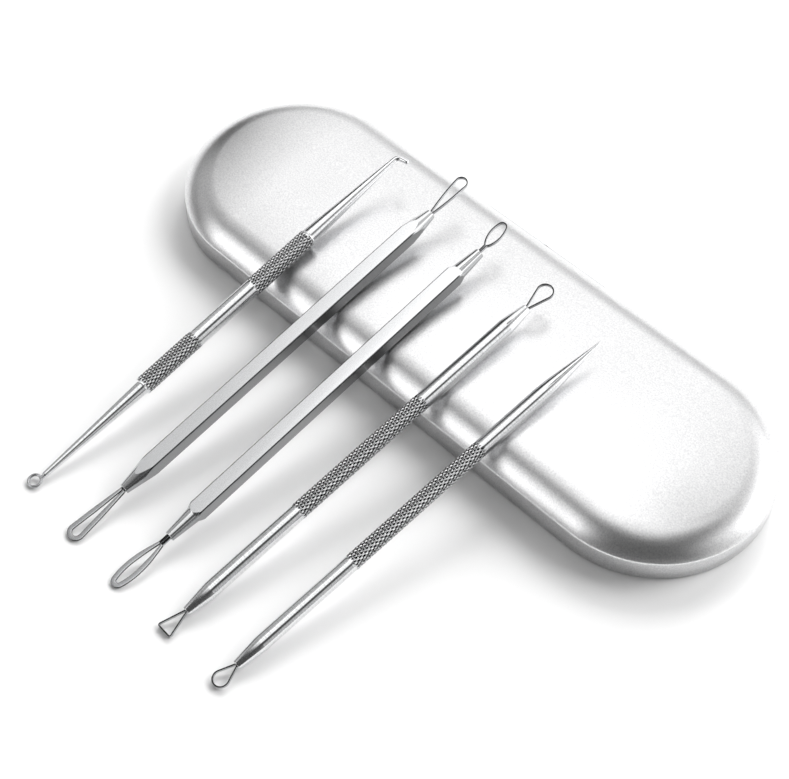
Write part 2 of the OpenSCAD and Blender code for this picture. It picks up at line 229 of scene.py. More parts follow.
# room round the knuckles: behind the skirt, under them, over them and beside them
axis_out, axis_lift, notch_over, notch_beside = 0.05, 0.15, 0.35, 1.0
axis_y = end_radius + knuckle_radius + axis_out
axis_z = skirt_lift + knuckle_radius + axis_lift
notch_height = axis_z + knuckle_radius + notch_over
trim_past, trim_depth, trim_below_axis = 10.0, 4.0, 0.2


def new_group(name, kind, inputs, outputs):
    """An empty node group with named sockets, and the outputs of its input node."""
    tree = bpy.data.node_groups.new(name, kind + "NodeTree")
    for way, sockets in (("INPUT", inputs), ("OUTPUT", outputs)):
        for label, socket in sockets:
            tree.interface.new_socket(label, in_out=way, socket_type="NodeSocket" + socket)
    return tree, tree.nodes.new("NodeGroupInput").outputs


def close_group(group, results):
    """Links the results to the group's outputs of those names."""
    out = group.nodes.new("NodeGroupOutput")
    for label, value in results.items():
        group.links.new(value, out.inputs[label])
    return group


MERGE_WITHIN = 1e-6


def close_tree(tree, given, geometry):
    """Merges the seam, realizes, sets the material and closes the tree."""
    merged = add(tree, "GeometryNodeMergeByDistance",
                 {"Geometry": geometry, "Distance": MERGE_WITHIN})
    real = add(tree, "GeometryNodeRealizeInstances", {"Geometry": merged.outputs[0]})
    dressed = add(tree, "GeometryNodeSetMaterial",
                  {"Geometry": real.outputs[0], "Material": given["Material"]})
    return close_group(tree, {"Geometry": dressed.outputs[0]})


def numbered_grid(tree, columns, rows):
    """A grid of points, and the number of the column and of the row of each."""
    grid = add(tree, "GeometryNodeMeshGrid", {
        "Size X": calc(tree, "SUBTRACT", columns, 1), "Size Y": calc(tree, "SUBTRACT", rows, 1),
        "Vertices X": columns, "Vertices Y": rows,
    })
    place = add(tree, "ShaderNodeSeparateXYZ",
                {0: add(tree, "GeometryNodeInputPosition").outputs[0]})
    column, row = (
        calc(tree, "ROUND", calc(tree, "ADD", place.outputs[i],
                                 calc(tree, "MULTIPLY", calc(tree, "SUBTRACT", count, 1), 0.5)))
        for i, count in ((0, columns), (1, rows))
    )
    return grid.outputs["Mesh"], column, row


def sampled(tree, geometry, value, index, kind="FLOAT"):
    """Value of the point of that index."""
    return add(tree, "GeometryNodeSampleIndex",
               {"Geometry": geometry, "Value": value, "Index": index},
               data_type=kind, domain="POINT").outputs[0]


def pressed_shell_tree():
    """Sweeps an open half section in X and Z round an oblong with round ends."""
    tree, given = new_group("pressed_shell", "Geometry", [
        ("Geometry", "Geometry"), ("Straight", "Float"), ("End Steps", "Int"),
        ("Section Points", "Int"), ("Material", "Material"),
    ], [("Geometry", "Geometry")])
    half_turn = calc(tree, "ADD", given["End Steps"], 1)
    turn = calc(tree, "MULTIPLY", half_turn, 2)
    grid, column, row = numbered_grid(tree, calc(tree, "ADD", turn, 1), given["Section Points"])
    column = calc(tree, "MODULO", column, turn)
    far_end = calc(tree, "FLOOR", calc(tree, "DIVIDE", column, half_turn))
    step = calc(tree, "SUBTRACT", column, calc(tree, "MULTIPLY", far_end, half_turn))
    part = calc(tree, "ADD", calc(tree, "DIVIDE", step, given["End Steps"]), far_end)
    angle = calc(tree, "MULTIPLY", calc(tree, "SUBTRACT", part, 0.5), math.pi)
    section = add(tree, "ShaderNodeSeparateXYZ", {0: sampled(
        tree, given["Geometry"], add(tree, "GeometryNodeInputPosition").outputs[0], row,
        "FLOAT_VECTOR")})
    centre = calc(tree, "MULTIPLY", given["Straight"],
                  calc(tree, "SUBTRACT", 0.5, far_end))
    placed = add(tree, "ShaderNodeCombineXYZ", {
        "X": calc(tree, "ADD", centre,
                  calc(tree, "MULTIPLY", section.outputs["X"], calc(tree, "COSINE", angle))),
        "Y": calc(tree, "MULTIPLY", section.outputs["X"], calc(tree, "SINE", angle)),
        "Z": section.outputs["Z"],
    })
    moved = add(tree, "GeometryNodeSetPosition", {"Geometry": grid, "Position": placed.outputs[0]})
    return close_tree(tree, given, moved.outputs[0])


def polyline(name, points):
    """A mesh of one line of points, given in millimetres."""
    mesh = bpy.data.meshes.new(name)
    mesh.from_pydata([Vector(p) * MM for p in points],
                     [(i, i + 1) for i in range(len(points) - 1)], [])
    return mesh


def grown(name, mesh, tree, **inputs):
    """The plain mesh that a geometry node tree makes from this one, faces outwards."""
    seed = bpy.data.objects.new(name, mesh)
    scene.collection.objects.link(seed)
    modifier = seed.modifiers.new("grow", "NODES")
    modifier.node_group = tree
    for item in tree.interface.items_tree:
        key = item.name.replace(" ", "_").lower()
        if item.in_out == "INPUT" and key in inputs:
            modifier[item.identifier] = inputs[key]
    made = bpy.data.meshes.new_from_object(
        seed.evaluated_get(bpy.context.evaluated_depsgraph_get()))
    bpy.data.objects.remove(seed)
    face_outwards(made)
    return made


def face_outwards(mesh):
    """Turns every face of a closed mesh outwards."""
    work = bmesh.new()
    work.from_mesh(mesh)
    bmesh.ops.recalc_face_normals(work, faces=work.faces)
    work.to_mesh(mesh)
    work.free()


def smoothed(mesh, sharp_angle):
    """Smooth shading, apart from the edges that are sharper than this many degrees."""
    mesh.shade_smooth()
    mesh.set_sharp_from_angle(angle=math.radians(sharp_angle))
    return mesh


def block(low, high):
    """A closed box in millimetres, for cutting."""
    mesh = bpy.data.meshes.new("cutter")
    work = bmesh.new()
    bmesh.ops.create_cube(work, size=1)
    size = [h - l for l, h in zip(low, high)]
    middle = [(h + l) / 2 for l, h in zip(low, high)]
    for vertex in work.verts:
        vertex.co = Vector([(c * s + m) * MM for c, s, m in zip(vertex.co, size, middle)])
    work.to_mesh(mesh)
    work.free()
    return mesh


def combined(mesh, others, operation):
    """Mesh after an exact boolean with each of the others."""
    body = bpy.data.objects.new("body", mesh)
    scene.collection.objects.link(body)
    tools = []
    for other in others:
        tool = bpy.data.objects.new("tool", other)
        scene.collection.objects.link(tool)
        tools.append(tool)
        modifier = body.modifiers.new("cut", "BOOLEAN")
        modifier.operation = operation
        modifier.solver = "EXACT"
        modifier.object = tool
    made = bpy.data.meshes.new_from_object(
        body.evaluated_get(bpy.context.evaluated_depsgraph_get()))
    for o in (body, *tools):
        bpy.data.objects.remove(o)
    return made


def piece(name, mesh, body, slot, *nodes):
    """Puts a finished mesh in the scene as a piece that rides on a body and replaces nodes."""
    mesh.name = name
    made = bpy.data.objects.new(name, mesh)
    scene.collection.objects.link(made)
    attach(made, body)
    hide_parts(*nodes)


def arc(centre, radius, start, end, steps):
    """Points of an arc in X and Z, angles in degrees."""
    angles = [math.radians(start + (end - start) * k / steps) for k in range(steps + 1)]
    return [(centre[0] + radius * math.cos(a), centre[1] + radius * math.sin(a))
            for a in angles]


GRAIN_ROUGHNESS = 0.6
CLOUD_SCALE = 0.02
NOISE_LOW, NOISE_HIGH = 0.3, 0.7


def grain_group():
    """Fine grain of a blasted or brushed skin: a height and a mask that vary over it."""
    group, given = new_group("fine_grain", "Shader", [
        ("Vector", "Vector"), ("Scale", "Float"), ("Roughness", "Float"),
    ], [("Height", "Float"), ("Cloud", "Float")])
    fine = add(group, "ShaderNodeTexNoise", {
        "Vector": given["Vector"], "Scale": given["Scale"], "Detail": 2.0,
        "Roughness": given["Roughness"]}, noise_dimensions="3D")
    cloud = add(group, "ShaderNodeTexNoise", {
        "Vector": given["Vector"], "Scale": calc(group, "MULTIPLY", given["Scale"], CLOUD_SCALE),
        "Detail": 3.0}, noise_dimensions="3D")
    return close_group(group, {"Height": fine.outputs["Fac"], "Cloud": cloud.outputs["Fac"]})


fine_grain = grain_group()


def shaded(tree, colour, mask, factor):
    """Colour times factor where mask is 1, unchanged where it is 0."""
    made = add(tree, "ShaderNodeMix", {"Factor": mask}, data_type="RGBA", blend_type="MULTIPLY")
    tree.links.new(colour, made.inputs["A"])
    made.inputs["B"].default_value = (factor, factor, factor, 1)
    return made.outputs["Result"]


def metal(name, grain, dark, light, rough, bump, depth=0.02, place=None, stretch=(1, 1, 1),
          marks=None):
    """A bare metal with fine grain. Place is the piece's own position, so that the grain can run
    along it. Marks gives masks of painted shade, and what the colour is multiplied by under each."""
    material = bpy.data.materials.new(name)
    material.use_nodes = True
    tree = material.node_tree
    shader = tree.nodes["Principled BSDF"]
    where = own = add(tree, "ShaderNodeTexCoord").outputs["Object"]
    if place is not None:
        own = add(tree, "ShaderNodeMapping", {
            "Vector": where, "Location": place.to_translation(),
            "Rotation": place.to_euler()}, vector_type="TEXTURE").outputs[0]
        where = add(tree, "ShaderNodeMapping", {
            "Vector": own, "Scale": stretch}).outputs[0]
    skin = add(tree, "ShaderNodeGroup", {
        "Vector": where, "Scale": grain, "Roughness": GRAIN_ROUGHNESS}, node_tree=fine_grain)
    tone = add(tree, "ShaderNodeMapRange", {
        "Value": skin.outputs["Height"], "From Min": NOISE_LOW,
        "From Max": NOISE_HIGH}).outputs["Result"]
    mixed = add(tree, "ShaderNodeMix", {"Factor": tone}, data_type="RGBA")
    mixed.inputs["A"].default_value = (*dark, 1)
    mixed.inputs["B"].default_value = (*light, 1)
    colour = mixed.outputs["Result"]
    for mask, factor in (marks(tree, own) if marks else []):
        colour = shaded(tree, colour, mask, factor)
    tree.links.new(colour, shader.inputs["Base Color"])
    shader.inputs["Metallic"].default_value = 1.0
    cloud = add(tree, "ShaderNodeMapRange", {
        "Value": skin.outputs["Cloud"], "From Min": NOISE_LOW, "From Max": NOISE_HIGH,
        "To Min": rough[0], "To Max": rough[1]}).outputs["Result"]
    tree.links.new(cloud, shader.inputs["Roughness"])
    relief = add(tree, "ShaderNodeBump", {
        "Height": skin.outputs["Height"], "Strength": bump, "Distance": depth * MM})
    tree.links.new(relief.outputs[0], shader.inputs["Normal"])
    return material


shell_tree = pressed_shell_tree()
blasted_tin = metal("blasted_tin", grain=3000.0, dark=(0.68, 0.68, 0.69),
                    light=(0.9, 0.9, 0.9), rough=(0.29, 0.34), bump=1.0)


def lid_line(inset):
    """Points of the lid's section from the middle of the crown down to the band."""
    curves = [((0, crown_height), crown_radius, 0, crown_slope, 16),
              ((shoulder_reach, shoulder_height), shoulder_radius, crown_slope,
               shoulder_slope, 32),
              (lid_edge, edge_radius, shoulder_slope, math.pi / 2, 10)]
    line = []
    for centre, radius, start, end, steps in curves:
        line += arc(centre, radius - inset, 90 - math.degrees(start), 90 - math.degrees(end),
                    steps)[1 if line else 0:]
    return line


END_STEPS = 64
PRESSED_SHARP = 35


def pressed(name, section):
    """The mesh of a pressing with this half section in X and Z."""
    return grown(name, polyline(name, [(x, 0, z) for x, z in section]), shell_tree,
                 straight=straight * MM, end_steps=END_STEPS, section_points=len(section),
                 material=blasted_tin)


band_top = band_height - edge_radius - 0.15
cut_round, cut_face = 0.05, 0.08
lid_section = (
    lid_line(0)
    + [(end_radius, band_top), (end_radius, skirt_lift + cut_face),
       (end_radius - cut_round, skirt_lift), (end_radius - sheet + cut_round, skirt_lift),
       (end_radius - sheet, skirt_lift + cut_round)]
    + lid_line(sheet)[::-1])
notch_half, trim_half = hinge_length / 2 + notch_beside, straight / 2 + trim_past
under, outside = -1.0, end_radius + 1.0
lid_mesh = combined(pressed("lid", lid_section), [
    block((-notch_half, end_radius - 2 * sheet, under),
          (notch_half, end_radius + sheet, notch_height)),
    block((-trim_half, end_radius - trim_depth, under),
          (trim_half, outside, axis_z - trim_below_axis)),
], "DIFFERENCE")
piece("lid_pressing", smoothed(lid_mesh, PRESSED_SHARP), "lid", "satin_case", "case_lid")

# Case base. A shallow pan pressed from the same sheet, a little smaller than the lid, so that
# the lid's skirt drops over its wall. It carries the whole case.
skirt_gap, lid_clear, base_corner, rim_round = 0.35, 0.3, 1.0, 0.06
base_radius = end_radius - sheet - skirt_gap
base_height = band_height - sheet - lid_clear
pan_corner = (base_radius - base_corner, base_corner)
floor_edge, wall_inside = base_radius - base_corner - 1.0, base_radius - sheet
pan_section = (
    [(0, sheet), (floor_edge, sheet)]
    + arc(pan_corner, base_corner - sheet, -90, 0, 6)
    + [(wall_inside, base_height - rim_round), (wall_inside + rim_round, base_height),
       (base_radius - rim_round, base_height), (base_radius, base_height - rim_round)]
    + arc(pan_corner, base_corner, 0, -90, 8)
    + [(floor_edge, 0), (0, 0)])
piece("base_pan", smoothed(pressed("pan", pan_section), PRESSED_SHARP), "base", "satin_case",
      "case_base")


# Extractor handles of round bar. Each is turned from stainless bar, polished, and knurled in
# crossing diagonals where the fingers hold it. The ends are tapered and drilled for the loops.
tool_length = [108.9, 117.5, 115.1, 109.0, 106.7]
lower_reach = [2.0, 15.0, 15.0, 5.9, 5.9]
upper_reach = [0.0, 11.9, 9.3, 7.6, 0.0]
foot_x = [-36.4, -21.2, -6.0, 8.6, 24.2]
foot_out = [92.3, 96.1, 97.0, 96.5, 97.4]
foot_height = [0.655, 0.32, 0.32, 0.48, 0.48]
heading = [88.9, 88.4, 88.4, 86.8, 86.1]
half_bar = [2.15, 1.75, 1.75, 1.85, 1.75]
lean_gap = 0.3
RING, LONG, OVAL, TRIANGLE, NEEDLE = range(5)
BODIES = ["ring_extractor", "long_loop_extractor", "oval_loop_extractor",
          "triangle_extractor", "needle_extractor"]


def leaning_place(i):
    """Where extractor i lies: upright along Z in its own drawing, leaning on the lid here."""
    run = foot_out[i] - shoulder_reach
    rise = shoulder_height - foot_height[i]
    lean = math.atan2(rise, run) + math.asin(
        (shoulder_radius + half_bar[i] + lean_gap) / math.hypot(run, rise))
    return (Matrix.Translation(Vector((foot_x[i], -foot_out[i], foot_height[i])) * MM)
            @ Matrix.Rotation(math.radians(heading[i] - 90), 4, "Z")
            @ Matrix.Rotation(lean - math.radians(90), 4, "X"))


places = [leaning_place(i) for i in range(5)]
KNURL_PITCH, DIAMOND_STEPS, GROOVE_FLARE = 1.45, 4, 1.3


def drawn_bar_tree():
    """Rings of points about the stations of a line make a bar, a wire or a strip. Each station has
    two directions and half sizes. Crossing grooves are cut where cut is above 0. How deep a point
    is in a groove and in a pit, and how near a strip's edge, is kept for the metal, which paints
    shade there."""
    tree, given = new_group("drawn_bar", "Geometry", [
        ("Geometry", "Geometry"), ("Stations", "Int"), ("Around", "Int"),
        ("Corner Power", "Float"), ("Groove Depth", "Float"), ("Material", "Material"),
    ], [("Geometry", "Geometry")])
    grid, station, step = numbered_grid(
        tree, given["Stations"], calc(tree, "ADD", given["Around"], 1))

    def at_station(name, kind="FLOAT"):
        named = add(tree, "GeometryNodeInputNamedAttribute", {"Name": name}, data_type=kind)
        return sampled(tree, given["Geometry"], named.outputs["Attribute"], station, kind)

    row = at_station("row")
    ridges = []
    for sign in ("ADD", "SUBTRACT"):
        phase = calc(tree, "FLOORED_MODULO", calc(tree, sign, step, row), DIAMOND_STEPS)
        off = calc(tree, "ABSOLUTE", calc(tree, "SUBTRACT", phase, DIAMOND_STEPS / 2))
        ridges.append(calc(tree, "SUBTRACT", 1, calc(tree, "MULTIPLY", off, 2 / DIAMOND_STEPS)))
    cut = at_station("cut")
    below = calc(tree, "SUBTRACT", 1, calc(tree, "MINIMUM", *ridges))
    groove = calc(tree, "MULTIPLY", calc(tree, "POWER", below, GROOVE_FLARE), cut)
    inset = calc(tree, "MULTIPLY", groove, given["Groove Depth"])
    pit = calc(tree, "MULTIPLY", cut, calc(
        tree, "MULTIPLY", *(calc(tree, "SUBTRACT", 1, ridge) for ridge in ridges)))
    flat = calc(tree, "GREATER_THAN", at_station("half_side"), at_station("half_across"))
    angle = calc(tree, "MULTIPLY", calc(tree, "DIVIDE", step, given["Around"]), 2 * math.pi)
    quarter = calc(tree, "MULTIPLY", calc(tree, "SUBTRACT", 1, flat), math.pi / 2)
    rim = calc(tree, "ABSOLUTE", calc(tree, "COSINE", calc(tree, "SUBTRACT", angle, quarter)))
    moved = sampled(tree, given["Geometry"], add(tree, "GeometryNodeInputPosition").outputs[0],
                    station, "FLOAT_VECTOR")
    for wave, way in (("COSINE", "side"), ("SINE", "across")):
        swing = calc(tree, wave, angle)
        squared = calc(tree, "MULTIPLY", calc(tree, "SIGN", swing), calc(
            tree, "POWER", calc(tree, "ABSOLUTE", swing), given["Corner Power"]))
        reach = calc(tree, "MULTIPLY", squared,
                     calc(tree, "SUBTRACT", at_station("half_" + way), inset))
        arm = add(tree, "ShaderNodeVectorMath", {0: at_station(way, "FLOAT_VECTOR")},
                  operation="SCALE")
        put(tree, arm.inputs["Scale"], reach)
        moved = add(tree, "ShaderNodeVectorMath", {0: moved, 1: arm.outputs[0]},
                    operation="ADD").outputs[0]
    # these are worked out from the grid's own positions, so they are stored before it moves
    for label, value in (("groove", groove), ("pit", pit), ("rim", rim)):
        grid = add(tree, "GeometryNodeStoreNamedAttribute", {
            "Geometry": grid, "Name": label, "Value": value,
        }, data_type="FLOAT", domain="POINT").outputs[0]
    placed = add(tree, "GeometryNodeSetPosition", {"Geometry": grid, "Position": moved})
    return close_tree(tree, given, placed.outputs[0])


bar_tree = drawn_bar_tree()


def station(centre, side, half_side, across=(0, 1, 0), half_across=None, cut=0.0, row=0.0):
    """One station of a bar, in millimetres."""
    return {"centre": centre, "side": side, "across": across, "half_side": half_side,
            "half_across": half_side if half_across is None else half_across,
            "cut": cut, "row": row}


def drawn(name, stations, around, material, corner_power=1.0, groove_depth=0.0):
    """The mesh of a bar, wire or strip along these stations."""
    mesh = polyline(name, [s["centre"] for s in stations])
    for key in ("side", "across"):
        layer = mesh.attributes.new(key, "FLOAT_VECTOR", "POINT")
        layer.data.foreach_set("vector", [c for s in stations for c in s[key]])
    for key, unit in (("half_side", MM), ("half_across", MM), ("cut", 1), ("row", 1)):
        layer = mesh.attributes.new(key, "FLOAT", "POINT")
        layer.data.foreach_set("value", [s[key] * unit for s in stations])
    return grown(name, mesh, bar_tree, stations=len(stations), around=around,
                 corner_power=corner_power, groove_depth=groove_depth * MM, material=material)


def turned(points):
    """Stations of a turned bar from (height, radius) pairs."""
    return [station((0, 0, z), (1, 0, 0), max(r, 0.0)) for z, r in points]


def eased(points, reach=0.12, most=0.3):
    """The same outline with a small round at each inner corner of the list."""
    out = [points[0]]
    for before, here, after in zip(points, points[1:], points[2:]):
        for other in (before, after):
            length = math.dist(here, other)
            part = min(reach, length * most) / length if length else 0
            out.append(tuple(h + (o - h) * part for h, o in zip(here, other)))
    return out + [points[-1]]


KNURL_STEP = KNURL_PITCH / DIAMOND_STEPS
KNURL_DEPTH = 0.28
TURNED_SHARP = 40
knurl_height = 0.1
# painted shade in the knurling: what the colour is multiplied by in its grooves, and in the pits
# where they cross
groove_painted_shade, pit_painted_shade = 0.85, 0.03


def knurled(radius, start, end):
    """Stations of a knurled band, four to each diamond, that starts and ends in the bar."""
    steps = round((end - start) / KNURL_STEP)
    made = []
    for k in range(steps + 1):
        z = start + (end - start) * k / steps
        run_in = min(1.0, k / 2, (steps - k) / 2)
        made.append(station((0, 0, z), (1, 0, 0), radius + knurl_height * run_in,
                            cut=run_in, row=float(k)))
    return made


bore_radius, bore_depth = 0.75, 4.0


def marked(tree, name, start, end):
    """Mask from an attribute of the mesh, 0 at start and 1 at end."""
    value = add(tree, "ShaderNodeAttribute", attribute_name=name).outputs["Fac"]
    return smooth_step(tree, value, start, end)


def knurl_painted_shade(tree, own):
    """Painted shade in the knurling: its grooves are painted a little darker than its points, and
    near black where they cross.
    """
    return [(marked(tree, "groove", 0.1, 0.9), groove_painted_shade),
            (marked(tree, "pit", 0.04, 0.4), pit_painted_shade)]


def turned_steel(name, i, **changes):
    """Polished stainless steel with the faint rings of the lathe, in extractor i's place, with
    painted shade in the knurling.
    """
    look = dict(place=places[i], stretch=(0.25, 0.25, 1.0), grain=5200.0,
                dark=(0.7, 0.705, 0.715), light=(0.9, 0.905, 0.915), rough=(0.12, 0.18),
                bump=0.12, depth=0.01, marks=knurl_painted_shade)
    look.update(changes)
    return metal(name, **look)


def round_handle(name, i, stations, diamonds, material, nodes):
    """Makes a round handle and puts it in its place on body i."""
    mesh = drawn(name, stations, diamonds * DIAMOND_STEPS, material, groove_depth=KNURL_DEPTH)
    mesh.transform(places[i])
    piece(name, smoothed(mesh, TURNED_SHARP), BODIES[i], "handle_steel", *nodes)


round_tip, tip_break, taper, band_margin = 1.05, 0.06, 6.2, 0.3
taper_foot, foot_swell = 0.1, 0.015


def tapered_end(z, inward, radius, band):
    """Stations from the bored face of a round handle up its taper to the knurled band, or back
    down from it. Inward is 1 at the lower end and -1 at the upper one."""
    floor, chamfer = z + inward * bore_depth, z + inward * tip_break
    line = [(floor, 0.0), (floor, bore_radius), (chamfer, bore_radius),
            (z, bore_radius + tip_break), (z, round_tip - tip_break), (chamfer, round_tip)]
    line += eased([(z + inward * taper_foot, round_tip + foot_swell), (z + inward * taper, radius),
                   (band - inward * band_margin, radius)])
    return turned(line[::inward])


triangle_radius, triangle_band = 1.85, (35.5, 70.8)
triangle_steel = turned_steel("triangle_handle_steel", TRIANGLE)
round_handle(
    "triangle_handle_bar", TRIANGLE,
    tapered_end(lower_reach[TRIANGLE], 1, triangle_radius, triangle_band[0])
    + knurled(triangle_radius, *triangle_band)
    + tapered_end(tool_length[TRIANGLE] - upper_reach[TRIANGLE], -1, triangle_radius,
                  triangle_band[1]),
    16, triangle_steel, ["triangle_handle"])

needle_radius, needle_root, needle_blunt = 1.75, 1.3, 0.12
needle_length, neck_length, needle_band = 12.0, 7.0, (35.7, 71.7)
neck_steps, needle_steps, neck_flare = 10, 12, 0.9
needle_top = tool_length[NEEDLE]
needle_start = needle_top - needle_length
neck_start = needle_start - neck_length
needle_steel = turned_steel("needle_handle_steel", NEEDLE)
neck = [(neck_start + neck_length * u,
         needle_root + (needle_radius - needle_root) * math.cos(math.pi / 2 * u) ** neck_flare)
        for u in (k / neck_steps for k in range(neck_steps))]
needle = [(needle_start + needle_length * u, needle_root + (needle_blunt - needle_root) * u)
          for u in (k / needle_steps for k in range(needle_steps))]
needle += [(needle_top - 0.1, needle_blunt), (needle_top - 0.03, 0.07), (needle_top, 0.0)]
round_handle(
    "needle_handle_bar", NEEDLE,
    tapered_end(lower_reach[NEEDLE], 1, needle_radius, needle_band[0])
    + knurled(needle_radius, *needle_band)
    + turned([(needle_band[1] + band_margin, needle_radius), (neck_start - 0.5, needle_radius)]
             + neck + needle),
    15, needle_steel, ["needle_handle"])

# The ring extractor's handle is one turned bar as well, with two knurled bands and a long
# taper to each end. Its upper end is bent over into a short blunt hook for lifting.
ring_low, ring_radius = lower_reach[RING], 2.05
lower_band, upper_band = (30.0, 45.6), (62.2, 79.5)
ring_stem, ring_seat, stem_fit = 0.8, 2.5, 0.05
stem_bore = ring_stem / 2 + stem_fit
hook_radius, hook_bend, hook_turn, hook_over, hook_steps = 0.6, 1.2, 80.0, 0.82, 12
hook_start = tool_length[RING] - hook_bend * math.sin(math.radians(hook_turn)) - hook_over
# the straight end of the hook: how far along it, and its radius there
hook_end = [(0.7, 0.57), (1.4, 0.55), (1.75, 0.53), (1.9, 0.46), (1.98, 0.3), (2.0, 0.0)]
ring_steel = turned_steel("ring_handle_steel", RING)
hook = []
for k in range(1, hook_steps + 1):
    a = math.radians(hook_turn * k / hook_steps)
    hook.append(station((hook_bend * (1 - math.cos(a)), 0, hook_start + hook_bend * math.sin(a)),
                        (math.cos(a), 0, -math.sin(a)), hook_radius))
tip_x, tip_z = hook[-1]["centre"][0], hook[-1]["centre"][2]
for out, radius in hook_end:
    hook.append(station((tip_x + math.sin(a) * out, 0, tip_z + math.cos(a) * out),
                        (math.cos(a), 0, -math.sin(a)), radius))
# outlines of the two long tapers, as heights and radii
lower_taper = [
    (ring_low + ring_seat, 0.0), (ring_low + ring_seat, stem_bore),
    (ring_low + 0.03, stem_bore), (ring_low, stem_bore + 0.03), (ring_low, 0.61),
    (ring_low + 0.05, 0.65), (ring_low + 0.4, 0.66),
    (lower_band[0] - 0.5, 1.64), (lower_band[0] - 0.2, 1.66)]
upper_taper = [(upper_band[1] + 0.2, 1.86), (upper_band[1] + 0.5, 1.84),
               (hook_start - 0.5, hook_radius + 0.02), (hook_start, hook_radius)]
round_handle(
    "ring_handle_bar", RING,
    turned(lower_taper)
    + knurled(ring_radius, *lower_band)
    + turned([(lower_band[1] + band_margin, ring_radius),
              (upper_band[0] - band_margin, ring_radius)])
    + knurled(ring_radius, *upper_band)
    + turned(upper_taper)
    + hook,
    18, ring_steel, ["ring_handle"])


# Square handles of the two long loops. Square bar is drawn bright with its corners just
# rounded, and turned down at both ends to a blunt cone, which is drilled for the loop.
square_side, corner_round, corner_steps = 3.5, 0.22, 8
square_tip, corner_reach = 1.15, square_side / 2 * math.sqrt(2)
# what the colour is multiplied by: on the bar's two side faces, painted shade, and on its rounded
# corners, a painted dark reflection line
side_painted_shade, corner_painted_reflection = 0.5, 0.15
AROUND_CONE, AROUND_BORE, OVERSHOOT = 96, 48, 0.5
FLAT_SLOPE, SOFT_ANGLE = 0.02, math.radians(14)


def square_bar(low, high):
    """A closed square bar with rounded corners, in millimetres."""
    ring = []
    inner = square_side / 2 - corner_round
    for quarter in range(4):
        middle = math.radians(45 + 90 * quarter)
        cx, cy = (math.copysign(inner, f(middle)) for f in (math.cos, math.sin))
        for k in range(corner_steps + 1):
            turn = math.radians(90 * quarter + 90 * k / corner_steps)
            ring.append((cx + corner_round * math.cos(turn), cy + corner_round * math.sin(turn)))
    n = len(ring)
    mesh = bpy.data.meshes.new("square_bar")
    mesh.from_pydata(
        [(x * MM, y * MM, z * MM) for z in (low, high) for x, y in ring], [],
        [tuple(range(n))[::-1], tuple(range(n, 2 * n))]
        + [(k, (k + 1) % n, (k + 1) % n + n, k + n) for k in range(n)])
    face_outwards(mesh)
    return mesh


def turned_end(cone, shoulder):
    """Outline of a turned end from its face inwards, to where it leaves the bar's corners."""
    neck_r = square_side / 2 - 0.03 if shoulder else square_tip
    neck_z = cone - shoulder if shoulder else 0.0
    over_r = corner_reach + 0.1
    over_z = neck_z + (cone - neck_z) * (over_r - neck_r) / (corner_reach - neck_r)
    cut = [(0.0, square_tip - tip_break), (tip_break, square_tip)]
    return cut + ([(neck_z, neck_r)] if shoulder else []) + [(over_z, over_r)]


def square_handle(name, i, cone, shoulder, material, nodes):
    """Makes a square handle and puts it in its place on body i."""
    low, high = lower_reach[i], tool_length[i] - upper_reach[i]
    end = turned_end(cone, shoulder)
    envelope = drawn("envelope", turned(
        [(low, 0.0)] + [(low + z, r) for z, r in end]
        + [(high - z, r) for z, r in end[::-1]] + [(high, 0.0)]), AROUND_CONE, material)
    bores = [drawn("bore", turned([(z0, 0.0), (z0, bore_radius), (z1, bore_radius), (z1, 0.0)]),
                   AROUND_BORE, material)
             for z0, z1 in ((low - 2 * OVERSHOOT, low + bore_depth),
                            (high - bore_depth, high + 2 * OVERSHOOT))]
    mesh = square_bar(low - OVERSHOOT, high + OVERSHOOT)
    mesh.materials.append(material)
    mesh = combined(mesh, [envelope], "INTERSECT")
    mesh = combined(mesh, bores, "DIFFERENCE")
    work = bmesh.new()
    work.from_mesh(mesh)
    for face in work.faces:
        face.smooth = True
    for edge in work.edges:
        if len(edge.link_faces) == 2:
            slopes = sorted(abs(f.normal.z) for f in edge.link_faces)
            edge.smooth = not (slopes[0] < FLAT_SLOPE < slopes[1]
                               or edge.calc_face_angle(0) > SOFT_ANGLE)
    work.to_mesh(mesh)
    work.free()
    mesh.transform(places[i])
    piece(name, mesh, BODIES[i], "handle_steel", *nodes)


def bar_faces_group():
    """Masks of a square bar's rounded corners and of its two side faces, in its own place."""
    group, given = new_group("bar_faces", "Shader", [
        ("Vector", "Vector"), ("Half Side", "Float"), ("Round", "Float"),
    ], [("Corner", "Float"), ("Side", "Float")])
    place = add(group, "ShaderNodeSeparateXYZ", {0: given["Vector"]}).outputs
    across, up = (calc(group, "ABSOLUTE", place[axis]) for axis in ("X", "Y"))
    into = calc(group, "SUBTRACT", calc(group, "ADD", calc(group, "MINIMUM", across, up),
                                        given["Round"]), given["Half Side"])
    corner = smooth_step(group, calc(group, "DIVIDE", into, given["Round"]), -0.4, 0.2)
    side = smooth_step(group, calc(group, "DIVIDE", calc(group, "SUBTRACT", across, up),
                                   given["Half Side"]), 0.0, 0.05)
    return close_group(group, {"Corner": corner, "Side": side})


bar_faces = bar_faces_group()


def drawn_painted_shade(tree, own):
    """Painted shade: the bar's two side faces are painted darker as shade, and its rounded corners
    carry a painted dark reflection line.
    """
    mask = add(tree, "ShaderNodeGroup", {
        "Vector": own, "Half Side": square_side / 2 * MM, "Round": corner_round * MM,
    }, node_tree=bar_faces)
    return [(mask.outputs["Side"], side_painted_shade), (mask.outputs["Corner"], corner_painted_reflection)]


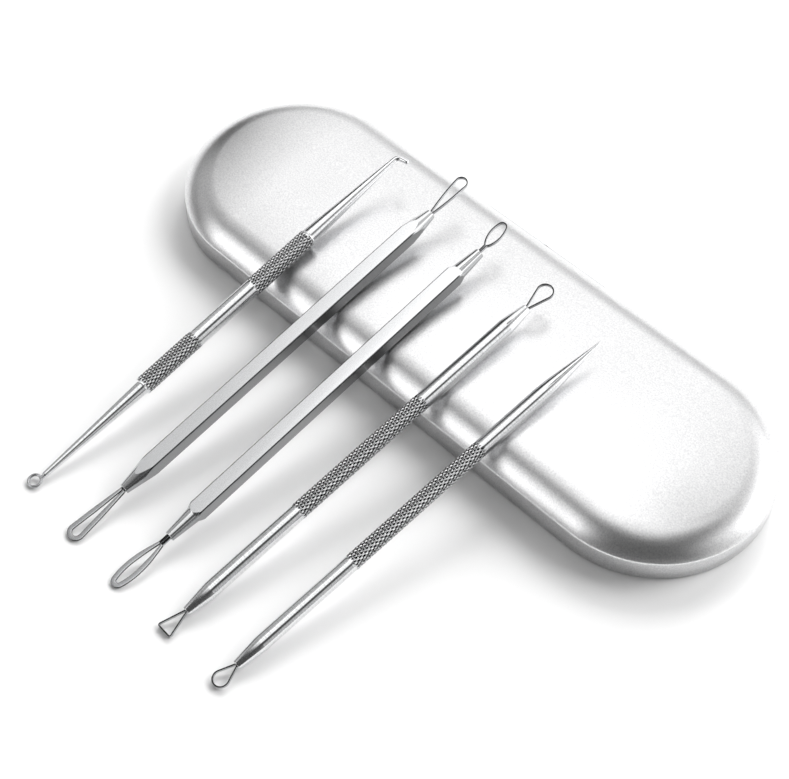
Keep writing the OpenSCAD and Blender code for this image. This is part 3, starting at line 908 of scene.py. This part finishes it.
def drawn_steel(name, i):
    """Bright drawn square bar with a fine satin grain, with painted shade on its side faces and a
    painted dark reflection on its corners.
    """
    return turned_steel(name, i, stretch=(1.0, 1.0, 0.35), grain=5200.0,
                        dark=(0.74, 0.745, 0.755), light=(0.8, 0.805, 0.815),
                        rough=(0.16, 0.22), bump=0.15, marks=drawn_painted_shade)


cone_length, shoulder_length = 8.1, 1.6
square_handle("long_loop_handle_bar", LONG, cone_length, 0.0,
              drawn_steel("long_handle_steel", LONG), ["long_loop_handle"])
square_handle("oval_loop_handle_bar", OVAL, cone_length, shoulder_length,
              drawn_steel("oval_handle_steel", OVAL), ["oval_loop_handle"])


# Loops. Thin stainless strip or flattened wire is bent round a form, and both its legs are
# pressed into the bore of the handle. The two long lower loops are the flattened wire.
strip_thickness, strip_width, strip_root = 0.3, 0.8, 0.21
flat_wire_width, flat_wire_thickness = 1.1, 0.4
wire_diameter, flat_reach = 0.62, 7.0
flat_root = wire_diameter / 2 + 0.04
LOOP_AROUND, LOOP_SHARP, STRIP_CORNER = 24, 60, 0.38
# the last of these is what the colour of a strip's narrow edges is multiplied by, as painted shade
LEG_STEPS, STEM_STEPS, rim_painted_shade = 16, 24, 0.06


def straight_loop(width, reach, t, root, bow=0.0):
    """Line of a loop with nearly straight legs and a round end."""
    r = (width - t) / 2
    c = (0.0, reach - t / 2 - r)
    toward = (c[0] - root, c[1])
    start = (math.degrees(math.atan2(toward[1], toward[0]))
             - math.degrees(math.asin(r / math.hypot(*toward))) - 90)
    round_end = arc(c, r, start, 180 - start, 40)
    end = round_end[0]
    side = [(root, -bore_depth)] + [
        (root + (end[0] - root) * u + bow * math.sin(math.pi * u), end[1] * u)
        for u in (k / LEG_STEPS for k in range(LEG_STEPS))]
    return side + round_end + [(-x, z) for x, z in side[::-1]]


def oval_loop(width, reach, stem, belly, nose, t, root, fullness=1.0):
    """Line of an egg-shaped loop on a stem of two parallel legs. It is widest at the belly and
    closes in a nose. Below 1, fullness makes it swell sooner above the stem."""
    r = (width - t) / 2
    rise = reach - t / 2 - nose - belly
    flank_r = (r * r - nose * nose + rise * rise) / (2 * (r - nose))
    turn = math.degrees(math.atan2(rise, flank_r - r))
    side = [(root, -bore_depth)] + [
        (root + (r - root) * math.sin(math.pi / 2 * u) ** fullness, stem + (belly - stem) * u)
        for u in (k / STEM_STEPS for k in range(STEM_STEPS))]
    side += arc((r - flank_r, belly), flank_r, 0, turn, 10)
    nose_line = arc((0, belly + rise), nose, turn, 180 - turn, 32)
    return side + nose_line[1:-1] + [(-x, z) for x, z in side[::-1]]


triangle_corner = 0.35


def triangle_loop(width, reach, t, root):
    """Line of a triangle with small rounded corners."""
    corner = ((width - t) / 2, reach - t / 2)
    slope = math.atan2(corner[1], corner[0] - root)
    c = (corner[0] - triangle_corner / math.tan(slope / 2), corner[1] - triangle_corner)
    side = [(root, -bore_depth), (root, 0.0)]
    side += arc(c, triangle_corner, math.degrees(slope) - 90, 90, 10)
    return side + [(-x, z) for x, z in side[::-1]]


def square_to(line):
    """Unit vector square to a flat line at each of its points."""
    made = []
    for k in range(len(line)):
        (u0, v0), (u1, v1) = line[max(k - 1, 0)], line[min(k + 1, len(line) - 1)]
        length = math.hypot(u1 - u0, v1 - v0)
        made.append((-(v1 - v0) / length, (u1 - u0) / length))
    return made


def capped(stations):
    """The same stations with one of no size at each end, which closes the strip."""
    first, last = (dict(stations[end], half_side=0.0, half_across=0.0) for end in (0, -1))
    return [first, *stations, last]


def loop(name, i, line, section, nodes, slope=0.0, upper=False):
    """Makes a loop and puts it in the end of extractor i. Section gives the strip's thickness
    and depth at a height above the end of the handle. Slope leans the loop to one side."""
    seat = tool_length[i] - upper_reach[i] if upper else lower_reach[i]
    outward = 1 if upper else -1
    placed = [(x + slope * max(z, 0.0), seat + outward * z) for x, z in line]
    stations = []
    for (x, z), (_, height), way in zip(placed, line, square_to(placed)):
        thickness, depth = section(max(height, 0.0))
        stations.append(station((x, 0, z), (way[0], 0, way[1]), thickness / 2,
                                half_across=depth / 2))
    mesh = drawn(name, capped(stations), LOOP_AROUND, wire_steel[i],
                 corner_power=STRIP_CORNER)
    mesh.transform(places[i])
    piece(name, smoothed(mesh, LOOP_SHARP), BODIES[i], "wire_steel", *nodes)


def edge_painted_shade(tree, own):
    """Painted shade: the narrow edges of strip and flattened wire are painted near black."""
    return [(marked(tree, "rim", 0.55, 0.8), rim_painted_shade)]


wire_steel = [
    metal(f"wire_steel_{i}", place=places[i], stretch=(1, 1, 0.4), grain=6000.0,
          dark=(0.46, 0.465, 0.475), light=(0.56, 0.565, 0.575), rough=(0.2, 0.28), bump=0.12,
          depth=0.01, marks=edge_painted_shade if i != RING else None)
    for i in range(5)]


def strip(height):
    """Thickness and depth of thin strip, the same at every height."""
    return strip_thickness, strip_width


def flattened(start):
    """Width and depth of a wire that is round up to start and flat from flat_reach on."""
    def section(height):
        part = min(1.0, max(0.0, (height - start) / (flat_reach - start)))
        return (wire_diameter + (flat_wire_width - wire_diameter) * part,
                wire_diameter + (flat_wire_thickness - wire_diameter) * part)
    return section


flat_wire = dict(t=flat_wire_width, root=flat_root)
thin_strip = dict(t=strip_thickness, root=strip_root)
oval_stem = 2.1
loop("long_lower_loop", LONG,
     straight_loop(width=4.1, reach=lower_reach[LONG], **flat_wire),
     flattened(0.0), ["long_loop_lower"])
loop("long_upper_loop", LONG,
     straight_loop(width=3.1, reach=upper_reach[LONG], t=strip_thickness, root=0.22, bow=0.17),
     strip, ["long_loop_upper"], slope=-0.06, upper=True)
loop("oval_lower_loop", OVAL,
     oval_loop(width=4.0, reach=lower_reach[OVAL], stem=oval_stem, belly=10.1, nose=1.0,
               **flat_wire),
     flattened(oval_stem), ["oval_loop_lower"], slope=-0.03)
loop("oval_upper_loop", OVAL,
     oval_loop(width=3.1, reach=upper_reach[OVAL], stem=2.3, belly=5.9, nose=1.05,
               fullness=0.65, **thin_strip),
     strip, ["oval_loop_upper"], slope=-0.1, upper=True)
loop("triangle_lower_loop", TRIANGLE,
     triangle_loop(width=4.1, reach=lower_reach[TRIANGLE], **thin_strip),
     strip, ["triangle_lower"])
loop("triangle_round_loop", TRIANGLE,
     straight_loop(width=3.9, reach=upper_reach[TRIANGLE], **thin_strip),
     strip, ["triangle_upper_loop"], upper=True)
loop("needle_round_loop", NEEDLE,
     straight_loop(width=3.7, reach=lower_reach[NEEDLE] - 0.1, **thin_strip),
     strip, ["needle_lower_loop"])

# The ring of the first extractor is bent from round wire, with a stem soldered into the bore.
ring_wire, ring_diameter, ring_steps, stem_around = 0.65, 3.4, 64, 32
ring_x, ring_z = -0.55, -0.1
eye_radius = (ring_diameter - ring_wire) / 2
join_z = ring_z + math.sqrt(eye_radius ** 2 - ring_x ** 2)
ring_line = []
for k in range(ring_steps + 1):
    a = 2 * math.pi * k / ring_steps
    way = (math.cos(a), 0, math.sin(a))
    ring_line.append(station((ring_x + eye_radius * way[0], 0, ring_z + eye_radius * way[2]),
                             way, ring_wire / 2))
ring_mesh = drawn("ring", ring_line, LOOP_AROUND, wire_steel[RING])
stem_top, stem_radius = lower_reach[RING] + ring_seat, ring_stem / 2
stem_mesh = drawn("stem", turned([(join_z, 0.0), (join_z, stem_radius), (stem_top, stem_radius),
                                  (stem_top, 0.0)]), stem_around, wire_steel[RING])
ring_mesh = combined(ring_mesh, [stem_mesh], "UNION")
ring_mesh.transform(places[RING])
piece("ring_loop", smoothed(ring_mesh, TURNED_SHARP), BODIES[RING], "wire_steel", "ring_eye")


# Hinge at the back. Two leaves of thin strip are spot-welded to the pan and to the lid, their
# knuckles are rolled round a straight pin, two below and three above.
hinge_steel = metal("hinge_steel", grain=5000.0, dark=(0.5, 0.5, 0.51),
                    light=(0.68, 0.68, 0.69), rough=(0.26, 0.36), bump=0.15, depth=0.01)
knuckle_count, knuckle_gap, leaf_thickness = 5, 0.3, 0.4
knuckle_length = (hinge_length - (knuckle_count - 1) * knuckle_gap) / knuckle_count
leaf_top_base = notch_height - notch_over
leaf_top_lid = band_height - edge_radius - 0.1
roll_radius = knuckle_radius - leaf_thickness / 2
leaf_end, LEAF_CORNER = 0.1, 0.12


def bent_leaf(line, centre_x, length):
    """A strip of the given length along X, bent along a line in Y and Z."""
    made = [station((centre_x, y, z), (0, *way), leaf_thickness / 2, across=(1, 0, 0),
                    half_across=length / 2)
            for (y, z), way in zip(line, square_to(line))]
    return drawn("leaf", capped(made), LOOP_AROUND, hinge_steel,
                 corner_power=LEAF_CORNER)


def roll(start, end):
    """Line of a knuckle round the pin, angles in degrees from +Y."""
    return arc((axis_y, axis_z), roll_radius, start, end, 28)


def leaf(name, plate, knuckle, first, body, node):
    """Makes a hinge leaf of a plate and of every second knuckle, bent along these lines."""
    strips = [bent_leaf(plate, 0, hinge_length)]
    for k in range(first, knuckle_count, 2):
        middle = (k - (knuckle_count - 1) / 2) * (knuckle_length + knuckle_gap)
        strips.append(bent_leaf(knuckle, middle, knuckle_length))
    mesh = combined(strips[0], strips[1:], "UNION")
    piece(name, smoothed(mesh, TURNED_SHARP), body, "hinge_metal", node)


lid_leaf_y = axis_y - roll_radius
leaf("lid_leaf",
     [(lid_leaf_y, leaf_top_lid), (lid_leaf_y, notch_height + leaf_end),
      (lid_leaf_y, notch_height)],
     [(lid_leaf_y, notch_height + 0.6), (lid_leaf_y, axis_z + 0.3)] + roll(180, 470),
     0, "lid", "lid_hinge_leaf")

base_leaf_y = base_radius + leaf_thickness / 2
tab_z, tab_bend, bend_middle = axis_z - roll_radius, 0.3, 0.09
leaf("base_leaf",
     [(base_leaf_y, leaf_top_base), (base_leaf_y, skirt_lift + leaf_end),
      (base_leaf_y, skirt_lift)],
     [(base_leaf_y, tab_z + 3 * tab_bend), (base_leaf_y, tab_z + tab_bend),
      (base_leaf_y + bend_middle, tab_z + bend_middle), (base_leaf_y + tab_bend, tab_z),
      (axis_y - tab_bend, tab_z)] + roll(-90, 200),
     1, "base", "base_hinge_leaf")

pin_over, pin_chamfer, pin_around = 0.5, 0.15, 32
pin_half = hinge_length / 2 + pin_over
pin_line = [(-pin_half, 0.0), (-pin_half, pin_radius - pin_chamfer),
            (-pin_half + pin_chamfer, pin_radius), (pin_half - pin_chamfer, pin_radius),
            (pin_half, pin_radius - pin_chamfer), (pin_half, 0.0)]
pin_mesh = drawn("pin", [station((x, axis_y, axis_z), (0, 1, 0), r, across=(0, 0, 1))
                         for x, r in pin_line], pin_around, hinge_steel)
piece("hinge_rod", smoothed(pin_mesh, TURNED_SHARP), "base", "hinge_metal", "hinge_pin")
